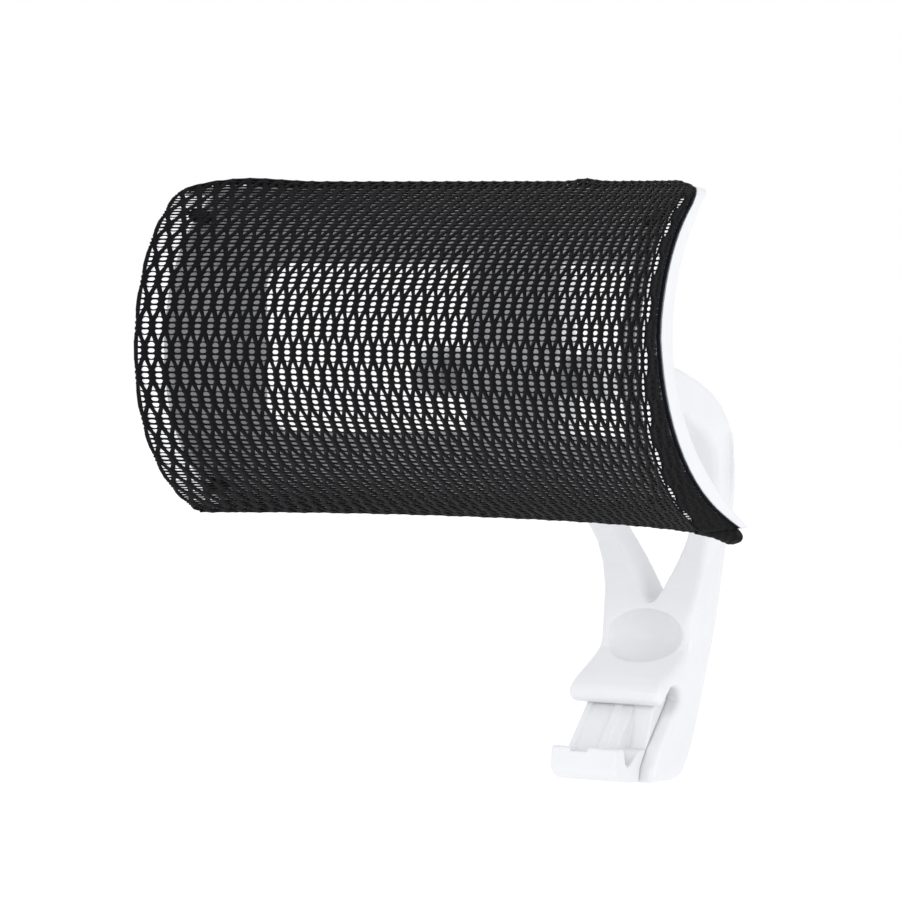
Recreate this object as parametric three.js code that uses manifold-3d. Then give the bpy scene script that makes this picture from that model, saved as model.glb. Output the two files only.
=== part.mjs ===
// Clip-on mesh headrest: a saddle-shaped tray under a knitted cover, on a forked arm with a two-jaw rail clip.
// Millimetres. +X is across the headrest, -Y is its front, +Z is up. The frame's origin is in the clip's mouth.
import * as THREE from "three";
import { mergeVertices } from "three/addons/utils/BufferGeometryUtils.js";
import Module from "manifold-3d";

const wasm = await Module();
wasm.setup();

// ---- driving dimensions -------------------------------------------------------------------------------------
const ORIGIN = [0, 178, -199]; // the clip's mouth, measured from the middle of the cover's front
const COVER_HALF = 156.4; // half the cover's width
const COVER_TOP = 124.6; // arc length from the middle of the front to the top edge
const COVER_BOTTOM = -132.2; // the same to the bottom edge
const CORNER_R = 20;
const CORNER_LOW_R = 8;
const COVER_THICK = 1.3;
const CLEAR = 0.5; // between the cover and the tray
const BAND_END = 19; // contact band along the two ends
const BAND_LONG = 6; // contact band along the top and bottom
const WINDOW = { half: 119, low: -45.5, high: 41.5, r: 12 };
const FLOOR_THICK = 3.2;
const FLOOR_MID = 98.4; // floor depth under the strut
const FLOOR_END = 41; // floor depth beside the window
const PIVOT = { y: 99.5, z: -15 };
const BARREL_R = 12;
const BARREL_HALF = 29.6;
const EAR_IN = 43;
const EAR_OUT = 60;
const BOLT_R = 3;
const STRUT = { half: 28, padHalf: 31, front: 94, back: 109, padBack: 98, low: -63.5, high: 59 };
const SCREWS = [[-18, 52], [18, 52], [-20, -57], [20, -57]];
const SCREW_R = 1.8;
const BODY_HALF = 29; // half the width of the arm's body
const HOOK_HALF = 20.5;
const CROTCH_Z = -138;
const DISH = { y: 206, z: -153.5, rx: 25.2, ry: 15, rz: 15 };
const NOTCH = { x0: -9, x1: 2, deep: 2.2 }; // in the jaw's upper edge

// ---- helpers ------------------------------------------------------------------------------------------------
const lerp = (a, b, t) => a + (b - a) * t;
const mix = (p, q, t) => p.map((v, i) => lerp(v, q[i], t));
const along = (p, dir, t) => p.map((v, i) => v + dir[i] * t);
const unit = (v) => {
  const l = Math.hypot(...v);
  return v.map((c) => c / l);
};
const table = (rows, x) => {
  if (x <= rows[0][0]) return rows[0][1];
  for (let i = 1; i < rows.length; i++) {
    const [x0, y0] = rows[i - 1], [x1, y1] = rows[i];
    if (x <= x1) return lerp(y0, y1, (x - x0) / (x1 - x0));
  }
  return rows[rows.length - 1][1];
};

function solid(geometry) {
  const g = geometry.clone();
  g.deleteAttribute("normal");
  g.deleteAttribute("uv");
  const m = mergeVertices(g, 1e-4);
  return new wasm.Manifold(
    new wasm.Mesh({ numProp: 3, vertProperties: m.attributes.position.array, triVerts: new Uint32Array(m.index.array) }),
  );
}

function geometryOf(manifold) {
  const m = manifold.getMesh();
  const g = new THREE.BufferGeometry();
  g.setAttribute("position", new THREE.BufferAttribute(new Float32Array(m.vertProperties), 3));
  g.setIndex(new THREE.BufferAttribute(new Uint32Array(m.triVerts), 1));
  return g;
}

const shapeOf = (points) => new THREE.Shape(points.map(([a, b]) => new THREE.Vector2(a, b)));

// A profile in (Y, Z) pushed along X.
function prismX(points, x0, x1, bevel = 0, steps = 1) {
  const g = new THREE.ExtrudeGeometry(shapeOf(points), {
    depth: x1 - x0 - 2 * bevel, steps, bevelEnabled: bevel > 0, bevelThickness: bevel, bevelSize: bevel,
    bevelOffset: -bevel, bevelSegments: 3, curveSegments: 12,
  });
  g.applyMatrix4(new THREE.Matrix4().makeBasis(
    new THREE.Vector3(0, 1, 0), new THREE.Vector3(0, 0, 1), new THREE.Vector3(1, 0, 0)));
  return g.translate(x0 + bevel, 0, 0);
}

// An outline in (X, Z) pushed along Y.
function prismY(points, y0, y1) {
  const g = new THREE.ExtrudeGeometry(shapeOf(points), { depth: y1 - y0, bevelEnabled: false });
  g.applyMatrix4(new THREE.Matrix4().makeBasis(
    new THREE.Vector3(1, 0, 0), new THREE.Vector3(0, 0, 1), new THREE.Vector3(0, -1, 0)));
  return g.translate(0, y1, 0);
}

const rodX = (r, x0, x1, y, z, n = 40) =>
  new THREE.CylinderGeometry(r, r, x1 - x0, n).rotateZ(Math.PI / 2).translate((x0 + x1) / 2, y, z);
const rodY = (r, y0, y1, x, z, n = 16) =>
  new THREE.CylinderGeometry(r, r, y1 - y0, n).translate(x, (y0 + y1) / 2, z);

const box = (x0, x1, y0, y1, z0, z1) =>
  new THREE.BoxGeometry(x1 - x0, y1 - y0, z1 - z0).translate((x0 + x1) / 2, (y0 + y1) / 2, (z0 + z1) / 2);

const arc = (cy, cz, r, from, to, n) =>
  Array.from({ length: n + 1 }, (_, i) => {
    const a = THREE.MathUtils.degToRad(lerp(from, to, i / n));
    return [cy + r * Math.cos(a), cz + r * Math.sin(a)];
  });

// Rings of equal length joined into one closed skin. Rings that close on themselves make a ring-shaped solid.
function skin(rings, { loop = false, capStart = null, capEnd = null } = {}) {
  const n = rings[0].length;
  const pos = rings.flat(2);
  const tri = [];
  const last = loop ? rings.length : rings.length - 1;
  for (let k = 0; k < last; k++) {
    const a = k * n, b = ((k + 1) % rings.length) * n;
    for (let i = 0; i < n; i++) {
      const j = (i + 1) % n;
      tri.push(a + i, a + j, b + j, a + i, b + j, b + i);
    }
  }
  [[capStart, 0, false], [capEnd, (rings.length - 1) * n, true]].forEach(([p, base, flip]) => {
    if (!p) return;
    const c = pos.length / 3;
    pos.push(...p);
    for (let i = 0; i < n; i++) {
      const j = (i + 1) % n;
      tri.push(...(flip ? [base + i, base + j, c] : [base + j, base + i, c]));
    }
  });
  const g = new THREE.BufferGeometry();
  g.setAttribute("position", new THREE.BufferAttribute(new Float32Array(pos), 3));
  g.setIndex(tri);
  const m = solid(g);
  if (m.volume() > 0) return g;
  for (let i = 0; i < tri.length; i += 3) [tri[i + 1], tri[i + 2]] = [tri[i + 2], tri[i + 1]];
  g.setIndex(tri);
  return g;
}

// ---- the saddle surface -------------------------------------------------------------------------------------
// The front's slope at arc length s, and the centre profile it gives.
const slope = (s) => 0.05284 + 0.0147 * s - 5.143e-6 * s ** 2 - 3.218e-7 * s ** 3;

function centreProfile(s) {
  const n = 40, h = s / n;
  let y = 0, z = 0;
  for (let i = 0; i < n; i++) {
    const a = slope((i + 0.5) * h);
    y += Math.sin(a) * h;
    z += Math.cos(a) * h;
  }
  return [y, z];
}

function surface(x, s) {
  const [y, z] = centreProfile(s);
  const q = x / 156.4;
  const flatten = s > 0 ? 0.51 : 0.396;
  return [x, -3.669e-4 * x ** 2 - 1.64e-8 * x ** 4 + (1 - flatten * q * q) * y, z];
}

// A point behind the surface by a depth, measured square to it.
function behind(x, s, depth) {
  const e = 0.5;
  const du = unit(along(surface(x + e, s), surface(x - e, s), -1));
  const dv = unit(along(surface(x, s + e), surface(x, s - e), -1));
  const n = unit([du[1] * dv[2] - du[2] * dv[1], du[2] * dv[0] - du[0] * dv[2], du[0] * dv[1] - du[1] * dv[0]]);
  return along(surface(x, s), n, n[1] > 0 ? depth : -depth);
}

// Stations round a rounded rectangle, with the outward direction at each. Every loop has the same stations.
function stations(half, low, high, r, rLow = r) {
  const out = [];
  const corners = [[half - r, high - r, 0], [-half + r, high - r, 90], [-half + rLow, low + rLow, 180],
    [half - rLow, low + rLow, 270]];
  corners.forEach(([cx, cs, from], k) => {
    const rk = k < 2 ? r : rLow;
    for (let i = 0; i <= 5; i++) {
      const a = THREE.MathUtils.degToRad(from + 18 * i);
      out.push({ x: cx + rk * Math.cos(a), s: cs + rk * Math.sin(a), nx: Math.cos(a), ns: Math.sin(a) });
    }
    const [nx, ns] = [[0, 1], [-1, 0], [0, -1], [1, 0]][k];
    const from2 = out[out.length - 1];
    const [ex, es] = [[-half + r, high], [-half, low + rLow], [half - rLow, low], [half, high - r]][k];
    const m = k % 2 ? 9 : 13;
    for (let i = 1; i < m; i++) out.push({ x: lerp(from2.x, ex, i / m), s: lerp(from2.s, es, i / m), nx, ns });
  });
  return out;
}

const inset = (dEnd, dLong = dEnd) => {
  const [r, rLow] = [CORNER_R, CORNER_LOW_R].map((c) => Math.max(c - Math.min(dEnd, dLong), 3));
  return stations(COVER_HALF - dEnd, COVER_BOTTOM + dLong, COVER_TOP - dLong, r, rLow);
};

// The rim runs backwards from the cover's folded edge. Its depth and the cover's share of it change with height.
const RIM_DEPTH = [[-125, 43], [-89.5, 43.2], [-63.4, 38.4], [-32.6, 31.2], [-19.5, 27.5], [-5, 25], [20, 22.5],
  [78, 22.6], [101, 20.6], [112, 19.5], [125, 15]];
const endShare = (p) => Math.exp((Math.abs(p.x) - COVER_HALF) / 25);
const wrapDepth = (p) =>
  lerp(10, 12 + 0.163 * Math.max(0, 10 - p.s) - 0.16 * Math.max(0, p.s - 95), endShare(p));
const rimDepth = (p) => lerp(13.5, table(RIM_DEPTH, p.s), endShare(p));
const rimDir = (p) => unit([0, lerp(0.75, 1, endShare(p)), -0.66 * p.ns * (1 - endShare(p))]);

// The rim's skin at a depth behind the fold, set in from the cover's outside by d.
const EDGE = inset(0);
const rim = (d, depthOf) => inset(d).map((p, i) => along(surface(p.x, p.s), rimDir(EDGE[i]), depthOf(EDGE[i])));

// ---- headrest -----------------------------------------------------------------------------------------------
const floorDepth = (x) => {
  const u = Math.max(0, Math.abs(x) - 46) / 73;
  return u < 1 ? lerp(FLOOR_MID, FLOOR_END, u ** 1.25) : FLOOR_END - 0.1 * (Math.abs(x) - 119);
};

function trayFrame() {
  const off = COVER_THICK + CLEAR;
  const band = inset(BAND_END, BAND_LONG);
  const win = stations(WINDOW.half, WINDOW.low, WINDOW.high, WINDOW.r);
  const bandFront = band.map((p) => behind(p.x, p.s, off));
  const floor = (t, back) => win.map((w, i) => {
    const p = mix(bandFront[i], [w.x, 0, w.s], t);
    return [p[0], floorDepth(p[0]) + back, p[2]];
  });
  const hidden = off + 1.1;
  const rings = [
    inset(hidden + 0.8).map((p) => behind(p.x, p.s, off)),
    bandFront,
    band.map((p) => behind(p.x, p.s, off + 3)),
    floor(0.45, 0),
    floor(1, 0),
    floor(1, FLOOR_THICK),
    floor(0.42, FLOOR_THICK),
    rim(0.4, rimDepth),
    rim(-1.2, (p) => rimDepth(p) - 1.2),
    rim(-1.2, (p) => wrapDepth(p) + 1.2),
    rim(hidden, (p) => wrapDepth(p) + 1.2),
    rim(hidden, () => off + 1.4),
  ];
  let m = solid(skin(rings, { loop: true }));
  SCREWS.forEach(([x, z]) => {
    m = m.subtract(solid(rodY(SCREW_R + 0.3, FLOOR_MID - 1, FLOOR_MID + FLOOR_THICK + 1, x, z)));
  });
  CORNERS.forEach(([x, s]) => {
    m = m.subtract(solid(gatherShape(x, s, 0.4)));
  });
  return geometryOf(m.subtract(solid(edgeBinding(0.3))));
}

function meshCover() {
  const mid = (COVER_TOP + COVER_BOTTOM) / 2;
  const share = [0.15, 0.3, 0.44, 0.57, 0.69, 0.8, 0.9];
  const scaled = (t, depth) => inset(3).map((p) => behind(p.x * t, lerp(mid, p.s, t), depth));
  const tail = (p) => wrapDepth(p) - 3;
  const rings = [
    ...share.map((t) => scaled(t, 0)),
    inset(3).map((p) => behind(p.x, p.s, 0)),
    inset(1.2).map((p) => behind(p.x, p.s, 0.25)),
    rim(0, () => 1.4),
    rim(0, tail),
    rim(COVER_THICK, tail),
    rim(COVER_THICK, () => COVER_THICK + 1.2),
    inset(3).map((p) => behind(p.x, p.s, COVER_THICK)),
    ...[...share].reverse().map((t) => scaled(t, COVER_THICK)),
  ];
  return skin(rings, { capStart: behind(0, mid, 0), capEnd: behind(0, mid, COVER_THICK) });
}

function edgeBinding(grow = 0) {
  const from = (p) => wrapDepth(p) - 2.3 - grow;
  const to = (p) => wrapDepth(p) + grow;
  const [out, inner] = [-0.5 - grow, 0.6 + grow];
  return skin([rim(out, from), rim(out, to), rim(inner, to), rim(inner, from)], { loop: true });
}

const CORNERS = [[-141, 84], [141, 84], [-137, -96], [137, -96]];

// A flattened bunch of cover lying in a pocket of the tray's corner.
function gatherShape(x, s, grow) {
  const c = behind(x, s, COVER_THICK + CLEAR + 3.2);
  return new THREE.SphereGeometry(1, 14, 8).scale(9 + grow, 2.8 + grow, 5 + grow)
    .rotateZ(x > 0 ? -0.25 : 0.25).rotateX(s > 0 ? -0.55 : 0.55).translate(...c);
}

function hingeStrut() {
  const { half, padHalf, front, back, padBack, low, high } = STRUT;
  const outline = [[-padHalf, low + 4], [-padHalf + 4, low], [padHalf - 4, low], [padHalf, low + 4],
    [padHalf, -51], [half, -46], [half, 42], [padHalf, 47], [padHalf, high - 4], [padHalf - 4, high],
    [-padHalf + 4, high], [-padHalf, high - 4], [-padHalf, 47], [-half, 42], [-half, -46], [-padHalf, -51]];
  let m = solid(prismY(outline, front, padBack));
  m = m.add(solid(prismX([[front, WINDOW.low + 2], [back - 4, WINDOW.low + 2], [back, WINDOW.low + 8],
    [back, WINDOW.high - 8], [back - 4, WINDOW.high - 2], [front, WINDOW.high - 2]], -half, half)));
  m = m.add(solid(rodX(BARREL_R, -BARREL_HALF, BARREL_HALF, PIVOT.y, PIVOT.z)));
  m = m.subtract(solid(rodX(BOLT_R + 0.1, -40, 40, PIVOT.y, PIVOT.z, 32)));
  SCREWS.forEach(([x, z]) => {
    m = m.subtract(solid(rodY(SCREW_R + 0.3, front - 1, padBack + 1, x, z)));
  });
  return geometryOf(m);
}

// A cross-recessed pan-head screw pointing back.
function strutScrew(x, z) {
  const f = STRUT.front - 0.3;
  const profile = [[0, f - 2.4], [2, f - 2.4], [3.4, f - 1.6], [3.9, f - 0.4], [3.9, f], [SCREW_R, f],
    [SCREW_R, FLOOR_MID + 2.2], [0.4, FLOOR_MID + 3], [0, FLOOR_MID + 3]];
  let m = solid(new THREE.LatheGeometry(profile.map(([r, y]) => new THREE.Vector2(r, y)), 18).translate(x, 0, z));
  m = m.subtract(solid(box(x - 2, x + 2, f - 3, f - 1.1, z - 0.35, z + 0.35)));
  m = m.subtract(solid(box(x - 0.35, x + 0.35, f - 3, f - 1.1, z - 2, z + 2)));
  return geometryOf(m);
}

const washer = (side) => {
  const [a, b] = [BARREL_HALF + 0.3, EAR_IN - 0.3];
  const ring = [[BOLT_R + 0.4, a], [8.5, a], [9.5, a + 1], [9.5, b - 1], [8.5, b], [BOLT_R + 0.4, b], [BOLT_R + 0.4, a]];
  const g = new THREE.LatheGeometry(ring.map(([r, y]) => new THREE.Vector2(r, y)), 24);
  return g.rotateZ((-side * Math.PI) / 2).translate(0, PIVOT.y, PIVOT.z);
};

// ---- arm ----------------------------------------------------------------------------------------------------
// Side profile of the arm: ears, tines, body, lip, slot and spine.
const ARM_SIDE = [
  ...arc(PIVOT.y, PIVOT.z, 13, 260, 96, 12),
  [112, -3.2], [126, -5.4], [140, -8], [152, -10.6], [161, -13], [175, -18.5], [187, -24.5], [196, -31.5],
  [202, -39.5], [207, -47], [210, -52.5], [216, -63], [223.5, -74], [229.5, -84.5], [233.3, -95], [236, -105], [238, -115], [238.6, -128],
  [238.6, -140], [237.4, -149], [233.4, -160], [225.5, -182], [217.5, -204], [211, -218], [204.5, -226], [197, -228],
  [176.6, -228], [178.1, -220], [183.3, -211.5], [202.4, -186.7], [202.6, -184.5], [202, -182], [200.2, -180.2],
  [197, -179.6], [194.6, -180.2], [193, -182], [186.6, -189], [183.6, -187.8], [181.7, -186], [181.5, -182],
  [183.5, -179], [189, -174.9], [197, -170.2], [205, -165], [209.5, -161.4], [211.2, -157], [211.4, -150],
  [212.5, -144], [214.6, -137], [216.6, -130], [217.6, -118], [216.8, -107], [212, -92], [206.5, -80],
  [200.6, -70], [197, -64], [191, -56], [180, -47], [160, -37], [140, -32.4], [120, -29.3],
];
// Half-width of the arm's outside against height.
const ARM_WIDE = [[-240, 29], [-185, 29], [-170, 29.3], [-159, 29], [-147, 28.5], [-137, 30], [-127, 31.5], [-117, 33.3],
  [-107, 36], [-99, 39], [-80, 48], [-60, 57], [-51, 59.4], [-46, 60], [20, 60]];
// Half-width of the gap between the tines.
const GAP = [[-138, 0], [-136.8, 3.2], [-134.5, 5], [-124, 11.2], [-101, 24.5], [-80, 31.5], [-60, 36.5], [-40, 40],
  [-28, 43], [20, 43]];

function forkArm() {
  const g = prismX(ARM_SIDE, -BODY_HALF, BODY_HALF, 3.5, 2);
  const p = g.attributes.position;
  for (let i = 0; i < p.count; i++) p.setX(i, (p.getX(i) * table(ARM_WIDE, p.getZ(i))) / BODY_HALF);
  let m = solid(g);
  const right = GAP.map(([z, x]) => [x, z]);
  const left = GAP.slice(1).reverse().map(([z, x]) => [-x, z]);
  m = m.subtract(solid(prismY([...right, ...left], 60, 260)));
  m = m.subtract(solid(
    new THREE.SphereGeometry(1, 40, 24).scale(DISH.rx, DISH.ry, DISH.rz).rotateX(0.2).translate(0, DISH.y, DISH.z)));
  m = m.subtract(solid(rodX(BOLT_R + 0.3, -70, 70, PIVOT.y, PIVOT.z, 32)));
  m = m.subtract(solid(rodX(6.6, EAR_OUT - 3.6, 70, PIVOT.y, PIVOT.z)));
  m = m.subtract(solid(rodX(6.6, -70, -EAR_OUT + 3.6, PIVOT.y, PIVOT.z)));
  return geometryOf(m);
}

function pivotBolt() {
  const head = EAR_OUT - 3.3;
  let m = solid(rodX(BOLT_R, -EAR_OUT + 0.8, head + 0.5, PIVOT.y, PIVOT.z, 32));
  m = m.add(solid(rodX(6.2, head, head + 3, PIVOT.y, PIVOT.z)));
  m = m.subtract(solid(rodX(2.6, head + 1.2, head + 4, PIVOT.y, PIVOT.z, 6)));
  return geometryOf(m);
}

function pivotNut() {
  const m = solid(rodX(6.2, -EAR_OUT + 0.5, -EAR_OUT + 3.3, PIVOT.y, PIVOT.z, 6));
  return geometryOf(m.subtract(solid(rodX(BOLT_R + 0.3, -70, -40, PIVOT.y, PIVOT.z, 32))));
}

// The sliding lower jaw. Its plate runs up the slot behind the lip.
const PLATE_BACK = [[176.1, -227.7], [177.6, -219.9], [182.7, -211.3], [201.5, -186.9], [201.5, -184], [199.8, -181.8]];
const JAW_FRONT = [[164.2, -217.2], [162.9, -210.4], [162, -209.5], [156.6, -209.2], [155.6, -210], [154.6, -219.8],
  [155.4, -222.4], [157.5, -224.6], [161.5, -226.5], [169, -227.4]];

function clipHook() {
  const main = [...PLATE_BACK, [194.9, -181.3], [172.8, -209.8], [168.2, -217.9], [166.2, -219.1], ...JAW_FRONT];
  const side = [...PLATE_BACK, [194.9, -181.3], [190, -188.2], [183, -210.9], [177.4, -211.4], [168.2, -218],
    [166.2, -219.1], ...JAW_FRONT];
  const h = HOOK_HALF;
  let m = solid(prismX(main, -h, h - 11.5)).add(solid(prismX(side, h - 11.6, h)));
  const rib = (x0, x1) => solid(prismX([[191.5, -188.5], [171, -213], [169.6, -212], [188.4, -188.2], [189.2, -187.2]], x0, x1));
  m = m.add(rib(-h, -h + 4)).add(rib(-2.5, 2.5));
  m = m.subtract(solid(box(NOTCH.x0, NOTCH.x1, 150, 164, -209.2 - NOTCH.deep, -200)));
  return geometryOf(m);
}

// ---- assembly -----------------------------------------------------------------------------------------------
const PLASTIC = { color: 0xf4f5f7, roughness: 0.42, metalness: 0 };
const FABRIC = { color: 0x252527, roughness: 0.95, metalness: 0 };
const BINDING = { color: 0x1c2233, roughness: 0.9, metalness: 0 };
const STEEL = { color: 0xa9abae, roughness: 0.35, metalness: 1 };
const NYLON = { color: 0x9fa2a6, roughness: 0.6, metalness: 0 };

const part = new THREE.Group();
const assembly = new THREE.Group();
assembly.position.set(...ORIGIN.map((v) => -v));
part.add(assembly);
function add(name, geometry, look) {
  const mesh = new THREE.Mesh(geometry, new THREE.MeshStandardMaterial(look));
  mesh.name = name;
  assembly.add(mesh);
}

add("tray_frame", trayFrame(), PLASTIC);
add("mesh_cover", meshCover(), FABRIC);
add("edge_binding", edgeBinding(), BINDING);
CORNERS.forEach(([x, s], i) => add("corner_gather_" + (i + 1), gatherShape(x, s, 0), FABRIC));
add("hinge_strut", hingeStrut(), PLASTIC);
SCREWS.forEach(([x, z], i) => add("strut_screw_" + (i + 1), strutScrew(x, z), STEEL));
add("friction_washer_left", washer(-1), NYLON);
add("friction_washer_right", washer(1), NYLON);
add("fork_arm", forkArm(), PLASTIC);
add("pivot_bolt", pivotBolt(), STEEL);
add("pivot_nut", pivotNut(), STEEL);
add("clip_hook", clipHook(), PLASTIC);

export default part;
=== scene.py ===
"""Looks of the clip-on mesh headrest: knitted cover, white mouldings, hinge hardware, studio."""
import bpy, bmesh, math
import numpy as np
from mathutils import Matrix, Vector, noise


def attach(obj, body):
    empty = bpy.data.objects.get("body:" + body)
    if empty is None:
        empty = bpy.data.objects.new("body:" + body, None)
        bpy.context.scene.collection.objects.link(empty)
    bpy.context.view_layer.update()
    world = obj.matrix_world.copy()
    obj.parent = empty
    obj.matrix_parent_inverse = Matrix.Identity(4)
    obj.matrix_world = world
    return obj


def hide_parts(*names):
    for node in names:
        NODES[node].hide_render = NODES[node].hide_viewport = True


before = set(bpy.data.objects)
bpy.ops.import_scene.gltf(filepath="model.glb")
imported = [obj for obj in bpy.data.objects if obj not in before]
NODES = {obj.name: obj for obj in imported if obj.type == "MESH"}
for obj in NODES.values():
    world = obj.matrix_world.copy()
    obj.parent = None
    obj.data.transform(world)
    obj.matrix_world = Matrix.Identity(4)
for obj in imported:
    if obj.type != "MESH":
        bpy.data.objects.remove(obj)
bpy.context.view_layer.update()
RNG = np.random.default_rng(7)

# ---- shared frame: lengths below are in mm from the middle of the cover's front ------------------
# The clip's mouth, which is the zero of the shared frame.
ORIGIN = np.array([0.0, 178.0, -199.0])
# The cover's outline: half width, its ends along the arc, and the corner radii at top and bottom.
HALF, TOP, BOTTOM, CORNER, LOW_CORNER = 156.4, 124.6, -132.2, 20.0, 8.0
MID_S, HALF_S = (TOP + BOTTOM) / 2, (TOP - BOTTOM) / 2
LEAST_CORNER = 3
# The saddle: how it bows across, and the share of the profile's depth that it loses at the ends.
BOW_2, BOW_4 = 3.669e-4, 1.64e-8
LOSS_ABOVE, LOSS_BELOW = 0.51, 0.396
# Over this length an end's own depths fade into those of the long sides.
END_FADE = 25
# The knit: repeat across, height of a row, the zigzag zone in it, and where a row begins.
PITCH, ROW, ZONE = 6.96, 12.66, 3.5
START_X, START_S = 2.69, 5.3
# The tray's front lies the sum of these behind the cover's.
CLEARANCE, COVER = 0.5, 1.3
# The tray's window, and its floor: flat where the strut stands, then coming forward to the ends.
WINDOW_HALF, WINDOW_LOW, WINDOW_HIGH, WINDOW_CORNER = 119, -45.5, 41.5, 12
FLAT_HALF, FLOOR_MID, FLOOR_END, FLOOR_CURVE, FLOOR_FALL = 46, 98.4, 41, 1.25, 0.1
FLOOR_THICK = 3.2
# Stations round an outline: steps round a corner and along an end, and twice that on a long side.
CORNER_STEPS, END_STEPS = 8, 26


def metres(p):
    return (np.asarray(p, float) - ORIGIN) / 1000.0


def unit(v):
    return v / np.maximum(np.linalg.norm(v, axis=-1, keepdims=True), 1e-9)


# The profile through the middle: its slope by arc length, then y and z summed along it.
_S = np.linspace(-220, 220, 1761)
_A = 0.05284 + 0.0147 * _S - 5.143e-6 * _S**2 - 3.218e-7 * _S**3
_Y = np.concatenate([[0], np.cumsum((np.sin(_A[1:]) + np.sin(_A[:-1])) / 2 * np.diff(_S))])
_Z = np.concatenate([[0], np.cumsum((np.cos(_A[1:]) + np.cos(_A[:-1])) / 2 * np.diff(_S))])
_Y -= np.interp(0, _S, _Y)
_Z -= np.interp(0, _S, _Z)


def surface(x, s):
    """The saddle's front at width x and arc length s."""
    y, z = np.interp(s, _S, _Y), np.interp(s, _S, _Z)
    q = x / HALF
    g = np.where(s > 0, LOSS_ABOVE, LOSS_BELOW)
    return np.stack([x, -BOW_2 * x**2 - BOW_4 * x**4 + (1 - g * q * q) * y, z], -1)


def behind(x, s, depth):
    """The point depth mm behind the front, square to it."""
    e = 0.5
    n = unit(np.cross(surface(x + e, s) - surface(x - e, s), surface(x, s + e) - surface(x, s - e)))
    n = n * np.where(n[..., 1:2] > 0, 1, -1)
    return surface(x, s) + n * np.asarray(depth, float)[..., None]


# The rim's depth along an end, as (arc length, depth).
RIM_DEPTH = np.array([
    [-125, 43], [-89.5, 43.2], [-63.4, 38.4], [-32.6, 31.2], [-19.5, 27.5], [-5, 25],
    [20, 22.5], [78, 22.6], [101, 20.6], [112, 19.5], [125, 15]], float)
LONG_RIM, LONG_WRAP, END_WRAP = 13.5, 10, 12


def end_share(x):
    """1 at an end of the headrest, fading to nothing towards its middle."""
    return np.exp((np.abs(x) - HALF) / END_FADE)


def wrap_depth(x, s):
    """How far the cover reaches back round the rim: more at the bottom, less near the top."""
    t = end_share(x)
    more, less = 0.163 * np.maximum(0, 10 - s), 0.16 * np.maximum(0, s - 95)
    return LONG_WRAP * (1 - t) + (END_WRAP + more - less) * t


def rim_depth(x, s):
    """How far the tray's rim reaches back."""
    t = end_share(x)
    return LONG_RIM * (1 - t) + np.interp(s, RIM_DEPTH[:, 0], RIM_DEPTH[:, 1]) * t


def rim_dir(x, ns):
    """The way the rim runs back: straight at the ends, leaning inwards on the long sides."""
    t = end_share(x)
    return unit(np.stack([np.zeros_like(x), 0.75 * (1 - t) + t, -0.66 * ns * (1 - t)], -1))


def loop(half, low, high, r, r_low=None):
    """Stations round a rounded rectangle: x, s and the outward direction."""
    out = []
    q = r if r_low is None else r_low
    corners = [(half - r, high - r, 0, r), (-half + r, high - r, 90, r),
               (-half + q, low + q, 180, q), (half - q, low + q, 270, q)]
    ends = [(-half + r, high), (-half, low + q), (half - q, low), (half, high - r)]
    dirs = [(0, 1), (-1, 0), (0, -1), (1, 0)]
    for k, (cx, cs, a0, rk) in enumerate(corners):
        for i in range(CORNER_STEPS + 1):
            a = math.radians(a0 + 90 * i / CORNER_STEPS)
            out.append((cx + rk * math.cos(a), cs + rk * math.sin(a), math.cos(a), math.sin(a)))
        x0, s0 = out[-1][:2]
        m = END_STEPS if k % 2 else 2 * END_STEPS
        for i in range(1, m):
            t = i / m
            out.append((x0 + (ends[k][0] - x0) * t, s0 + (ends[k][1] - s0) * t, *dirs[k]))
    return np.array(out).T


def inset(d_end, d_long=None):
    """The cover's outline, drawn in by d_end at the ends and by d_long on the long sides."""
    d_long = d_end if d_long is None else d_long
    d = min(d_end, d_long)
    return loop(HALF - d_end, BOTTOM + d_long, TOP - d_long,
                max(CORNER - d, LEAST_CORNER), max(LOW_CORNER - d, LEAST_CORNER))


EDGE = inset(0)


def rim(d, depth):
    """A ring inset by d and carried depth mm back along the rim."""
    x, s = inset(d)[:2]
    back = np.broadcast_to(depth, EDGE[0].shape)[:, None]
    return surface(x, s) + rim_dir(EDGE[0], EDGE[3]) * back


# ---- mesh helpers --------------------------------------------------------------------------------
def add_object(name, verts, faces, body, nodes, mat):
    """A smooth piece made from points in mm; it stands for the CAD nodes named."""
    me = bpy.data.meshes.new(name)
    me.from_pydata([tuple(v) for v in metres(verts)], [], [tuple(int(i) for i in f) for f in faces])
    me.validate()
    me.update()
    ob = bpy.data.objects.new(name, me)
    bpy.context.scene.collection.objects.link(ob)
    me.polygons.foreach_set("use_smooth", np.ones(len(me.polygons), bool))
    me.materials.append(mat)
    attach(ob, body)
    if nodes:
        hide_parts(*nodes)
    return ob


def skin(rings, closed=True):
    """Points and quads of the surface through rings of equal length."""
    n, k = len(rings[0]), len(rings)
    verts = np.concatenate(rings)
    faces = []
    for a in range(k if closed else k - 1):
        b = (a + 1) % k
        for i in range(n):
            j = (i + 1) % n
            faces.append((a * n + i, a * n + j, b * n + j, b * n + i))
    return verts, faces


def fix_normals(ob):
    bm = bmesh.new()
    bm.from_mesh(ob.data)
    bmesh.ops.recalc_face_normals(bm, faces=bm.faces)
    bm.to_mesh(ob.data)
    bm.free()


def sharpen(ob, angle):
    """Keeps hard edges crisp where the surface turns sharply."""
    bpy.context.view_layer.update()
    ob.data.set_sharp_from_angle(angle=math.radians(angle))


# ---- materials -----------------------------------------------------------------------------------
def material(name):
    m = bpy.data.materials.new(name)
    m.use_nodes = True
    nt = m.node_tree
    return m, nt, nt.nodes["Principled BSDF"]


def link(nt, a, b):
    nt.links.new(a, b)


NOISE_LOW, NOISE_HIGH = 0.3, 0.7


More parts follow.
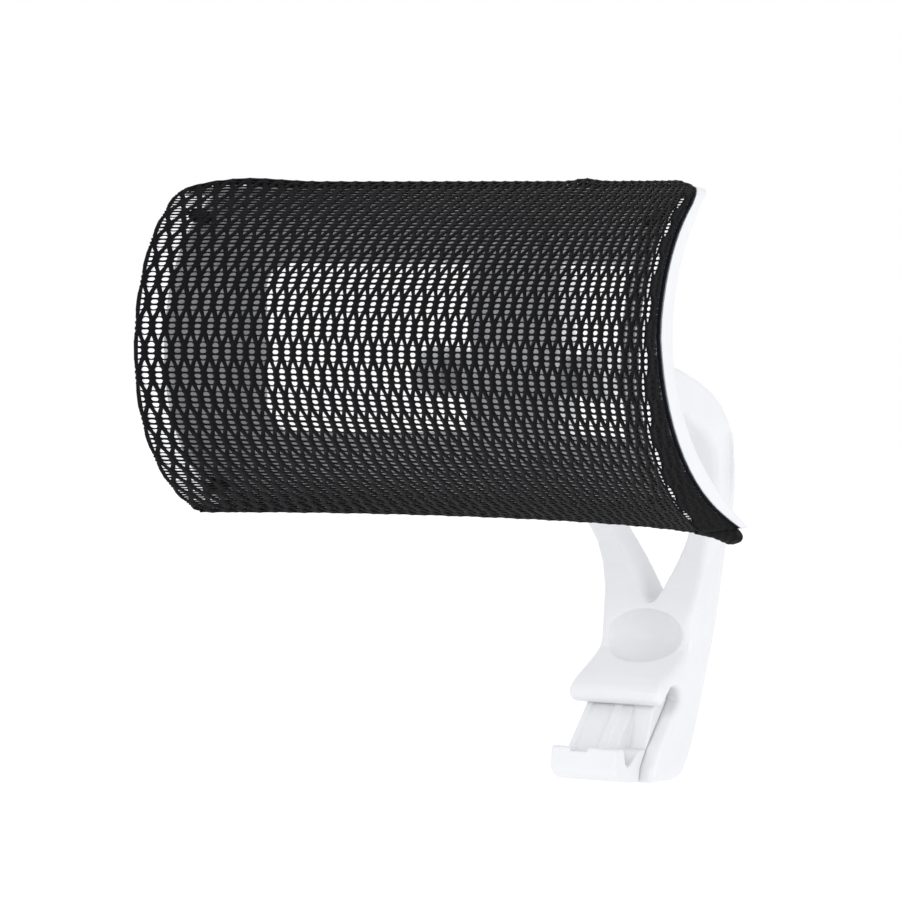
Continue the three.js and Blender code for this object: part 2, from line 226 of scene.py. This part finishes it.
def noise_ramp(nt, scale, detail, lo, hi, vector):
    """Noise pressed into the span lo to hi."""
    n = nt.nodes.new("ShaderNodeTexNoise")
    n.inputs["Scale"].default_value = scale
    n.inputs["Detail"].default_value = detail
    link(nt, vector, n.inputs["Vector"])
    r = nt.nodes.new("ShaderNodeMapRange")
    r.inputs["From Min"].default_value = NOISE_LOW
    r.inputs["From Max"].default_value = NOISE_HIGH
    r.inputs["To Min"].default_value, r.inputs["To Max"].default_value = lo, hi
    link(nt, n.outputs["Fac"], r.inputs["Value"])
    return r.outputs["Result"]


def bump(nt, height, strength, distance, bsdf):
    b = nt.nodes.new("ShaderNodeBump")
    b.inputs["Strength"].default_value = strength
    b.inputs["Distance"].default_value = distance
    link(nt, height, b.inputs["Height"])
    link(nt, b.outputs["Normal"], bsdf.inputs["Normal"])


def blend(nt, low, high, factor, bsdf):
    """Base colour that runs from low to high with the factor."""
    mix = nt.nodes.new("ShaderNodeMix")
    mix.data_type = "RGBA"
    mix.inputs["A"].default_value = (*low, 1)
    mix.inputs["B"].default_value = (*high, 1)
    link(nt, factor, mix.inputs["Factor"])
    link(nt, mix.outputs["Result"], bsdf.inputs["Base Color"])


def glow(bsdf, colour, strength):
    bsdf.inputs["Emission Color"].default_value = (*colour, 1)
    bsdf.inputs["Emission Strength"].default_value = strength


def plastic(name, colour, rough):
    """Moulded plastic: faint mottling of colour and gloss, and a fine moulded grain."""
    m, nt, p = material(name)
    v = nt.nodes.new("ShaderNodeTexCoord").outputs["Object"]
    tint = 0.015
    low = [c * (1 - tint) for c in colour]
    high = [min(1, c * (1 + tint)) for c in colour]
    blend(nt, low, high, noise_ramp(nt, 35, 3, 0, 1, v), p)
    link(nt, noise_ramp(nt, 220, 4, rough - 0.05, rough + 0.06, v), p.inputs["Roughness"])
    bump(nt, noise_ramp(nt, 1500, 2, 0, 1, v), 0.12, 0.00006, p)
    p.inputs["IOR"].default_value = 1.48
    return m


def metal(name, colour, rough):
    """Plated steel: patchy brightness and gloss, with a fine spangle."""
    m, nt, p = material(name)
    p.inputs["Metallic"].default_value = 1
    v = nt.nodes.new("ShaderNodeTexCoord").outputs["Object"]
    blend(nt, [c * 0.85 for c in colour], colour, noise_ramp(nt, 400, 5, 0, 1, v), p)
    link(nt, noise_ramp(nt, 900, 4, rough - 0.08, rough + 0.12, v), p.inputs["Roughness"])
    bump(nt, noise_ramp(nt, 1800, 3, 0, 1, v), 0.15, 0.00005, p)
    return m


def cloth(name, dark, light, uv=True):
    """Knitted or woven yarn: filament ribs across the strand, fuzz and an uneven dark dye."""
    m, nt, p = material(name)
    v = nt.nodes.new("ShaderNodeTexCoord").outputs["UV" if uv else "Object"]
    wave = nt.nodes.new("ShaderNodeTexWave")
    wave.wave_type, wave.bands_direction = "BANDS", "DIAGONAL"
    wave.inputs["Scale"].default_value = 5.5 if uv else 700
    wave.inputs["Distortion"].default_value = 3.5
    wave.inputs["Detail"].default_value = 3
    link(nt, v, wave.inputs["Vector"])
    fuzz = noise_ramp(nt, 9 if uv else 1500, 5, 0, 1, v)
    height = nt.nodes.new("ShaderNodeMath")
    height.operation = "MULTIPLY_ADD"
    height.inputs[1].default_value = 0.6
    link(nt, fuzz, height.inputs[0])
    link(nt, wave.outputs["Fac"], height.inputs[2])
    blend(nt, dark, light, wave.outputs["Fac"], p)
    link(nt, noise_ramp(nt, 3 if uv else 500, 3, 0.62, 0.85, v), p.inputs["Roughness"])
    p.inputs["Sheen Weight"].default_value = 0.05
    p.inputs["Sheen Roughness"].default_value = 0.4
    p.inputs["Specular IOR Level"].default_value = 0.05
    bump(nt, height.outputs["Value"], 0.6, 0.00025, p)
    return m


WHITE = plastic("white moulded plastic", (0.725, 0.731, 0.753), 0.38)
GLOWING_BEAD = plastic("thin white moulding with painted glow", (0.72, 0.726, 0.745), 0.5)
# The strips glow a little, to match how bright they look: painted light, standing in for light that
# reaches them through the fold.
glow(GLOWING_BEAD.node_tree.nodes["Principled BSDF"], (0.96, 0.97, 1), 0.7)
NYLON = plastic("grey nylon", (0.52, 0.53, 0.55), 0.55)
STEEL = metal("zinc-plated steel", (0.56, 0.57, 0.58), 0.3)
KNIT = cloth("black knit", (0.0028, 0.0028, 0.0034), (0.0085, 0.0085, 0.0102))
TAPE = cloth("navy tape", (0.002, 0.0024, 0.006), (0.005, 0.006, 0.014), uv=False)
BUNCH = cloth("bunched knit", (0.004, 0.004, 0.0045), (0.011, 0.011, 0.012), uv=False)


# ---- tray ----------------------------------------------------------------------------------------
def floor_depth(x):
    u = np.maximum(0, np.abs(x) - FLAT_HALF) / (WINDOW_HALF - FLAT_HALF)
    rise = FLOOR_MID + (FLOOR_END - FLOOR_MID) * np.minimum(u, 1) ** FLOOR_CURVE
    return np.where(u < 1, rise, FLOOR_END - FLOOR_FALL * (np.abs(x) - WINDOW_HALF))


def make_tray():
    """The ring moulding, as rings: front border, floor, window's edge, floor's back and rim."""
    off = COVER + CLEARANCE
    bx, bs = inset(19, 6)[:2]
    band = behind(bx, bs, np.full_like(bx, off))
    wx, wz = loop(WINDOW_HALF, WINDOW_LOW, WINDOW_HIGH, WINDOW_CORNER)[:2]
    win = np.stack([wx, np.zeros_like(wx), wz], -1)

    def floor(t, back):
        p = band * (1 - t) + win * t
        p[:, 1] = floor_depth(p[:, 0]) + back
        return p
    ex, es = EDGE[:2]
    rd, wd = rim_depth(ex, es), wrap_depth(ex, es)
    hid = off + 1.1

    def sheet(d, depth):
        x, s = inset(d)[:2]
        return behind(x, s, np.full_like(x, depth))
    rings = [
        sheet(hid + 1.6, off), sheet(hid + 5, off), band,
        behind(bx, bs, np.full_like(bx, off + 0.5)), behind(bx, bs, np.full_like(bx, off + 3)),
        floor(0.38, 0), floor(0.45, 0), floor(0.5, 0), floor(0.97, 0),
        floor(1, 0.5), floor(1, FLOOR_THICK - 0.5),
        floor(0.97, FLOOR_THICK), floor(0.5, FLOOR_THICK), floor(0.42, FLOOR_THICK),
        rim(1.6, rd - 0.1), rim(0.6, rd), rim(-0.5, rd - 0.25), rim(-1.05, rd - 0.9),
        rim(-1.2, rd - 2), rim(-1.2, wd + 2.2), rim(-0.9, wd + 1.5), rim(-0.2, wd + 1.25),
        rim(hid, wd + 1.2),
        rim(hid, off + 2.2), rim(hid + 0.5, off + 1.2)]
    verts, faces = skin(rings)
    ob = add_object("tray_moulding", verts, faces, "headrest",
                    ["tray_frame"], WHITE)
    fix_normals(ob)
    sharpen(ob, 50)


# ---- knitted cover -------------------------------------------------------------------------------
# A hole of the knit: half its width and height, its squareness and the bow of its outline.
HOLE_U, HOLE_V, HOLE_POWER, HOLE_BOW = 1.95, 1.12, 0.85, 0.5
# The zigzag zone's eyes are large and small by turns.
BIG_EYE, SMALL_EYE = 1.08, 0.82
ROWS, COLUMNS = range(-13, 11), range(-26, 27)


def rounded_unit(v):
    """A cosine or sine pushed towards a rounded square's."""
    return math.copysign(abs(v) ** HOLE_POWER, v)


def knit_pattern():
    """Flat knit as (x, s) points, hole centres, height above the strand's edge, and quads."""
    pts, mids, hts, quads, index = [], [], [], [], {}

    def vert(x, s, h, mid):
        key = (round(x, 3), round(s, 3))
        if key not in index:
            index[key] = len(pts)
            pts.append(key)
            mids.append(mid or key)
            hts.append(h)
        return index[key]

    def ring(outer, inner, ho, mid):
        a = [vert(*p, h, None) for p, h in zip(outer, ho)]
        b = [vert(*p, 0, mid) for p in inner]
        for i in range(len(a)):
            j = (i + 1) % len(a)
            quads.append((a[i], a[j], b[j], b[i]))

    cell = (ROW - ZONE) / 3
    t4 = [-0.5, -0.25, 0.0, 0.25]
    for j in ROWS:
        s0 = j * ROW + START_S
        for k in COLUMNS:
            xk = (k + (j % 2) / 2) * PITCH + START_X
            for c in range(3):
                cy = s0 + (c + 0.5) * cell
                outer = ([(xk + t * PITCH, cy - cell / 2) for t in t4] +
                         [(xk + PITCH / 2, cy - cell / 2), (xk + PITCH / 2, cy)] +
                         [(xk - t * PITCH, cy + cell / 2) for t in t4] +
                         [(xk - PITCH / 2, cy + cell / 2), (xk - PITCH / 2, cy)])
                inner = []
                for x, y in outer:
                    a = math.atan2((y - cy) / (cell / 2), (x - xk) / (PITCH / 2))
                    u = HOLE_U * rounded_unit(math.cos(a))
                    v = HOLE_V * rounded_unit(math.sin(a))
                    bow = (c - 1) * HOLE_BOW * (u / HOLE_U) ** 2
                    inner.append((xk + u, cy + v - bow + (c - 1) * 0.15))
                ring(outer, inner, [1, 0.35, 0.25, 0.35, 1, 1] * 2, (xk, cy))
            z0, z1 = s0 + 3 * cell, s0 + ROW
            for up in (True, False):
                xc = xk if up else xk + PITCH / 2
                base, tip = (z0, z1) if up else (z1, z0)
                half_way = (base + tip) / 2
                outer = ([(xc + t * PITCH, base) for t in t4] +
                         [(xc + PITCH / 2, base), (xc + PITCH / 4, half_way),
                          (xc, tip), (xc - PITCH / 4, half_way)])
                way = math.copysign(1, tip - base)
                size = BIG_EYE if (k + j) % 2 == 0 else SMALL_EYE
                inner = []
                for x, y in outer:
                    at = abs(y - base) / ZONE
                    u = (x - xc) / (PITCH / 2 * (1 - at)) if at < 0.9 else 0
                    reach = 0.12 + 3.05 * (0.6 + 0.4 * size) * at
                    inner.append((xc + u * size * 1.3 * (1 - 0.85 * at), base + way * reach))
                ring(outer, inner, [1, 0.4, 0.3, 0.4, 1, 0.8, 1, 0.8], (xc, base + way * 1.3))
    return np.array(pts), np.array(mids), np.array(hts), np.array(quads)


def outline_distance(x, s):
    """Distance outside the cover's folded outline, and the way out as two components."""
    ax, as_ = np.abs(x), np.abs(s - MID_S)
    c = np.where(s > MID_S, CORNER, LOW_CORNER)
    dx, ds = ax - (HALF - c), as_ - (HALF_S - c)
    corner = (dx > 0) & (ds > 0)
    side = ~corner & (dx > ds)
    r = np.maximum(np.hypot(dx, ds), 1e-6)
    d = np.where(corner, r - c, np.where(side, ax - HALF, as_ - HALF_S))
    nx = np.where(corner, dx / r, np.where(side, 1.0, 0.0)) * np.sign(x)
    ns = np.where(corner, ds / r, np.where(side, 0.0, 1.0)) * np.sign(s - MID_S)
    return d, nx, ns


def make_knit():
    """The cover: flat knit laid over the saddle, then carried back round the rim past the fold."""
    pts, mids, hts, quads = knit_pattern()
    dm = outline_distance(*mids.T)[0]
    # Past the fold the knit closes up, so its holes shrink.
    f = np.clip((dm - 3.5) / 3.5, 0, 1) ** 0.5
    pts = mids + (pts - mids) * (1 - 0.78 * f * f * (3 - 2 * f))[:, None]
    x, s = pts.T
    d, nx, ns = outline_distance(x, s)
    ex, es = x - nx * np.maximum(d, 0), s - ns * np.maximum(d, 0)
    limit = wrap_depth(ex, es) - 0.3
    quads = quads[(d < limit)[quads].all(1)]
    place = surface(x, s)
    # The fold is rounded: a point near it is the mean of places up to 1.3 mm to each side.
    near = d > -4
    acc = np.zeros((near.sum(), 3))
    steps = np.linspace(-1.3, 1.3, 7)
    for t in steps:
        dd = d[near] + t
        fx, fs = x[near] - nx[near] * d[near], s[near] - ns[near] * d[near]
        acc += (surface(fx + nx[near] * np.minimum(dd, 0), fs + ns[near] * np.minimum(dd, 0)) +
                rim_dir(fx, ns[near]) * np.maximum(dd, 0)[:, None])
    place[near] = acc / len(steps)
    e = 0.4
    n = unit(np.cross(surface(x + e, s) - surface(x - e, s), surface(x, s + e) - surface(x, s - e)))
    n *= np.where(n[:, 1:2] < 0, 1, -1)
    side = np.stack([nx, np.zeros_like(nx), ns * 0.6], -1)
    w = np.clip((d + 3) / 6, 0, 1)[:, None]
    n = unit(n * (1 - w) + side * w)
    # Yarn crossings stand up, and the stretched cloth is never quite even.
    lift = 0.28 * hts - 0.5
    lift = lift + 0.12 * np.sin(x * 0.31 + s * 0.11) * np.sin(s * 0.23)
    place = place + n * lift[:, None]
    # The top edge rises a little, most at the two places where it does in the photograph.
    crest = 0.7 + 1.6 * np.exp(-((x + 128) / 16) ** 2) + 1.3 * np.exp(-((x - 57) / 9) ** 2)
    place[:, 2] += crest * np.clip((s - 100) / 20, 0, 1) ** 2
    used = np.unique(quads)
    remap = np.full(len(place), -1)
    remap[used] = np.arange(len(used))
    ob = add_object("knitted_cover", place[used], remap[quads], "headrest",
                    ["mesh_cover"], KNIT)
    uv = ob.data.uv_layers.new(name="knit")
    loops = np.zeros(len(ob.data.loops), int)
    ob.data.loops.foreach_get("vertex_index", loops)
    uv.data.foreach_set("uv", (pts[used][loops] / PITCH).astype(np.float32).ravel())
    fix_normals(ob)
    sol = ob.modifiers.new("strand", "SOLIDIFY")
    sol.thickness, sol.offset = 0.0007, 0


def make_binding():
    """The tape sewn along the cover's rear border, with a slightly uneven edge."""
    ex, es = EDGE[:2]
    wd = wrap_depth(ex, es)
    wob = 0.25 * np.sin(np.arange(len(ex)) * 0.9) + 0.15 * RNG.standard_normal(len(ex))
    rings = [rim(-0.1, wd - 1.5), rim(-0.6, wd - 1.0 + wob * 0.3),
             rim(-0.75, wd - 0.2 + wob * 0.3), rim(-0.5, wd + 0.7 + wob * 0.2),
             rim(0.6, wd + 0.9), rim(0.9, wd - 1.0), rim(0.6, wd - 1.5)]
    verts, faces = skin(rings)
    ob = add_object("edge_tape", verts, faces, "headrest", ["edge_binding"], TAPE)
    fix_normals(ob)


def make_beads():
    """Thin strips on the tray's ends, under the fold, which glow a little as painted light: they
    are in the looks only.
    """
    n = 90
    front, rear = 1.5, 1.78
    s = np.linspace(BOTTOM + 12, TOP - 16, n)
    for name, sign, width in (("fold_bead_left", -1, 15.5), ("fold_bead_right", 1, 5.0)):
        x = np.full(n, sign * HALF)
        back = np.array([0.0, 1.0, 0.0])
        thick = sign * np.array([0.3, 0, 0])
        fold = surface(x - sign * 1.35, s)
        rows = [behind(x - sign * width, s, np.full(n, front)),
                behind(x - sign * 2.6, s, np.full(n, front)),
                fold + back * 2.2, fold + back * 7,
                fold + back * 7 - thick, fold + back * 2.6 - thick,
                behind(x - sign * 2.9, s, np.full(n, rear)),
                behind(x - sign * width, s, np.full(n, rear))]
        k = len(rows)
        faces = [(a * n + j, (a + 1) % k * n + j, (a + 1) % k * n + j + 1, a * n + j + 1)
                 for a in range(k) for j in range(n - 1)]
        # The strips' material glows: painted light for the light that comes through the fold.
        ob = add_object(name, np.concatenate(rows), faces, "headrest", [], GLOWING_BEAD)
        fix_normals(ob)


# The bunched corners, as (x, arc length), and half the size of a bunch.
BUNCHES = [(-141, 84), (141, 84), (-137, -96), (137, -96)]
BUNCH_SIZE = (8.6, 2.3, 4.8)


def lump(i, size):
    """Points and faces of a lumpy, pleated ball of cloth."""
    bm = bmesh.new()
    bmesh.ops.create_icosphere(bm, subdivisions=5, radius=1)
    out = []
    for v in bm.verts:
        p = Vector(v.co)
        f = 1 + 0.22 * noise.noise(p * 2.3 + Vector((i * 7.0, 0, 0))) + 0.08 * noise.noise(p * 9)
        f += 0.10 * math.sin(7 * math.atan2(p.z, p.x) + i) * (1 - abs(p.y))
        out.append([p.x * size[0] * f, p.y * size[1] * f, p.z * size[2] * f])
    faces = [[v.index for v in f.verts] for f in bm.faces]
    bm.free()
    return np.array(out), faces


def turned(v, about_z, about_x):
    """Points turned about z, then about x, by angles in radians."""
    c, s = math.cos(about_z), math.sin(about_z)
    v = np.stack([v[:, 0] * c - v[:, 1] * s, v[:, 0] * s + v[:, 1] * c, v[:, 2]], -1)
    c, s = math.cos(about_x), math.sin(about_x)
    return np.stack([v[:, 0], v[:, 1] * c - v[:, 2] * s, v[:, 1] * s + v[:, 2] * c], -1)


def roll(sign):
    """The cover's slack under a bottom corner, rolled up towards the tape."""
    near = 2.3
    k = int(np.argmin(np.hypot(EDGE[0] - sign * (HALF - near), EDGE[1] - (BOTTOM + near))))
    x, s = EDGE[0][k], EDGE[1][k]
    start, way = surface(x, s), rim_dir(EDGE[0][k:k + 1], EDGE[3][k:k + 1])[0]
    end = float(wrap_depth(np.array([x]), np.array([s]))[0]) + 5
    # The left roll is the smaller one. Both close in a rounded tip.
    girth, droop = (1, 1) if sign > 0 else (0.45, 0.3)
    tip_from, tip = 0.88, 0.12
    rings = []
    for u in np.linspace(0, 1, 40):
        closing = math.sqrt(max(1e-4, 1 - max(0, (u - tip_from) / tip) ** 2))
        fat = (0.9 + 3.6 * u ** 1.3) * girth * closing
        c = start + way * (end * u - 2) + np.array([-sign * 1.2, 0, (0.9 - 5.9 * u) * droop])
        a = np.linspace(0, 2 * np.pi, 33)[:-1]
        r = fat * (1 + 0.10 * np.sin(3 * a + 9 * u) + 0.05 * np.sin(41 * u))
        rings.append(c + np.stack([np.cos(a) * r, 0.25 * np.sin(a) * r, np.sin(a) * r], -1))
    verts, faces = skin(rings, closed=False)
    n = len(rings[0])
    return verts, faces + [tuple(range(n)), tuple(range(len(verts) - n, len(verts)))]


def make_bunches():
    depth = np.array([COVER + CLEARANCE + 0.9])
    for i, (x, s) in enumerate(BUNCHES):
        c = behind(np.array([float(x)]), np.array([float(s)]), depth)[0]
        verts, faces = lump(i, BUNCH_SIZE)
        verts = c + turned(verts, -0.25 if x > 0 else 0.25, -0.55 if s > 0 else 0.55)
        if s < 0:
            v2, f2 = roll(1 if x > 0 else -1)
            faces = faces + [[j + len(verts) for j in f] for f in f2]
            verts = np.concatenate([verts, v2])
        ob = add_object(f"corner_bunch_{i + 1}", verts, faces, "headrest",
                        [f"corner_gather_{i + 1}"], BUNCH)
        fix_normals(ob)


# ---- mouldings rounded from their CAD solids -----------------------------------------------------
def rounded(node, name, body, voxel, rounds, mat):
    """A smooth moulding on a CAD node's solid: fine even skin, then softened edges."""
    me = NODES[node].data.copy()
    ob = bpy.data.objects.new(name, me)
    bpy.context.scene.collection.objects.link(ob)
    bm = bmesh.new()
    bm.from_mesh(me)
    bmesh.ops.remove_doubles(bm, verts=bm.verts, dist=1e-6)
    bm.to_mesh(me)
    bm.free()
    mod = ob.modifiers.new("skin", "REMESH")
    mod.mode, mod.voxel_size = "VOXEL", voxel
    mod.use_smooth_shade = True
    sm = ob.modifiers.new("soften", "SMOOTH")
    sm.factor, sm.iterations = 0.5, rounds
    bpy.context.view_layer.update()
    done = bpy.data.meshes.new_from_object(ob.evaluated_get(bpy.context.evaluated_depsgraph_get()))
    ob.modifiers.clear()
    ob.data = done
    done.materials.clear()
    done.materials.append(mat)
    done.polygons.foreach_set("use_smooth", np.ones(len(done.polygons), bool))
    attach(ob, body)
    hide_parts(node)


def dress(node, mat, bevel):
    """A CAD node kept where it is, with a material and softened edges."""
    ob = NODES[node]
    ob.data.materials.clear()
    ob.data.materials.append(mat)
    b = ob.modifiers.new("edge", "BEVEL")
    b.width, b.segments, b.limit_method, b.angle_limit = bevel, 3, "ANGLE", math.radians(35)
    b.use_clamp_overlap = True


make_tray()
make_knit()
make_binding()
make_bunches()
make_beads()
rounded("fork_arm", "forked_arm", "arm", 0.0007, 7, WHITE)
rounded("clip_hook", "sliding_jaw", "jaw", 0.00045, 6, WHITE)
rounded("hinge_strut", "hinge_strut_moulding", "headrest", 0.0006, 5, WHITE)
for n in NODES:
    if n.startswith("strut_screw") or n in ("pivot_bolt", "pivot_nut"):
        dress(n, STEEL, 0.00025)
    elif n.startswith("friction_washer"):
        dress(n, NYLON, 0.0004)


# ---- studio --------------------------------------------------------------------------------------
FLOOR_Z, FLOOR_SIZE, FLOOR_GLOW = -0.34, 9, 0.28


def make_floor():
    bm = bmesh.new()
    bmesh.ops.create_grid(bm, x_segments=8, y_segments=8, size=FLOOR_SIZE)
    me = bpy.data.meshes.new("floor")
    bm.to_mesh(me)
    bm.free()
    ob = bpy.data.objects.new("floor", me)
    ob.location = (0, 0, FLOOR_Z)
    bpy.context.scene.collection.objects.link(ob)
    m, _, p = material("pale floor")
    p.inputs["Base Color"].default_value = (0.8, 0.8, 0.8, 1)
    p.inputs["Roughness"].default_value = 0.9
    glow(p, (1, 1, 1), FLOOR_GLOW)
    me.materials.append(m)


def area_light(name, at, aim, size, power):
    """A white disk light at a place, turned to its aim."""
    li = bpy.data.lights.new(name, "AREA")
    li.shape, li.size, li.energy = "DISK", size, power
    ob = bpy.data.objects.new(name, li)
    ob.location = at
    ob.rotation_mode = "QUATERNION"
    ob.rotation_quaternion = (Vector(aim) - Vector(at)).to_track_quat("-Z", "Y")
    bpy.context.scene.collection.objects.link(ob)


# The camera as solved from the photograph: place in mm, then degrees down and round.
CAMERA_AT, CAMERA_DOWN, CAMERA_ROUND = [1620.75, -2155.57, 75.70], 2.662, 36.44
LENS, SENSOR = 219.6, 36


def make_studio():
    make_floor()
    sc = bpy.context.scene
    sc.view_settings.view_transform = "Standard"
    sc.view_settings.look = "None"
    w = bpy.data.worlds.new("studio")
    sc.world = w
    w.use_nodes = True
    bg = w.node_tree.nodes["Background"]
    bg.inputs["Color"].default_value = (1, 1, 1, 1)
    bg.inputs["Strength"].default_value = 1.0
    mid = (0, -0.05, 0.15)
    area_light("key from the right", (2.6, -0.6, 0.9), mid, 1.2, 13)
    area_light("soft front", (-0.6, -2.6, 1.2), mid, 1.6, 18)
    cam = bpy.data.cameras.new("camera")
    cam.lens, cam.sensor_width = LENS, SENSOR
    cam.clip_start, cam.clip_end = 0.1, 60
    co = bpy.data.objects.new("camera", cam)
    co.location = metres(CAMERA_AT)
    co.rotation_euler = (math.radians(90 - CAMERA_DOWN), 0, math.radians(CAMERA_ROUND))
    sc.collection.objects.link(co)
    sc.camera = co


make_studio()
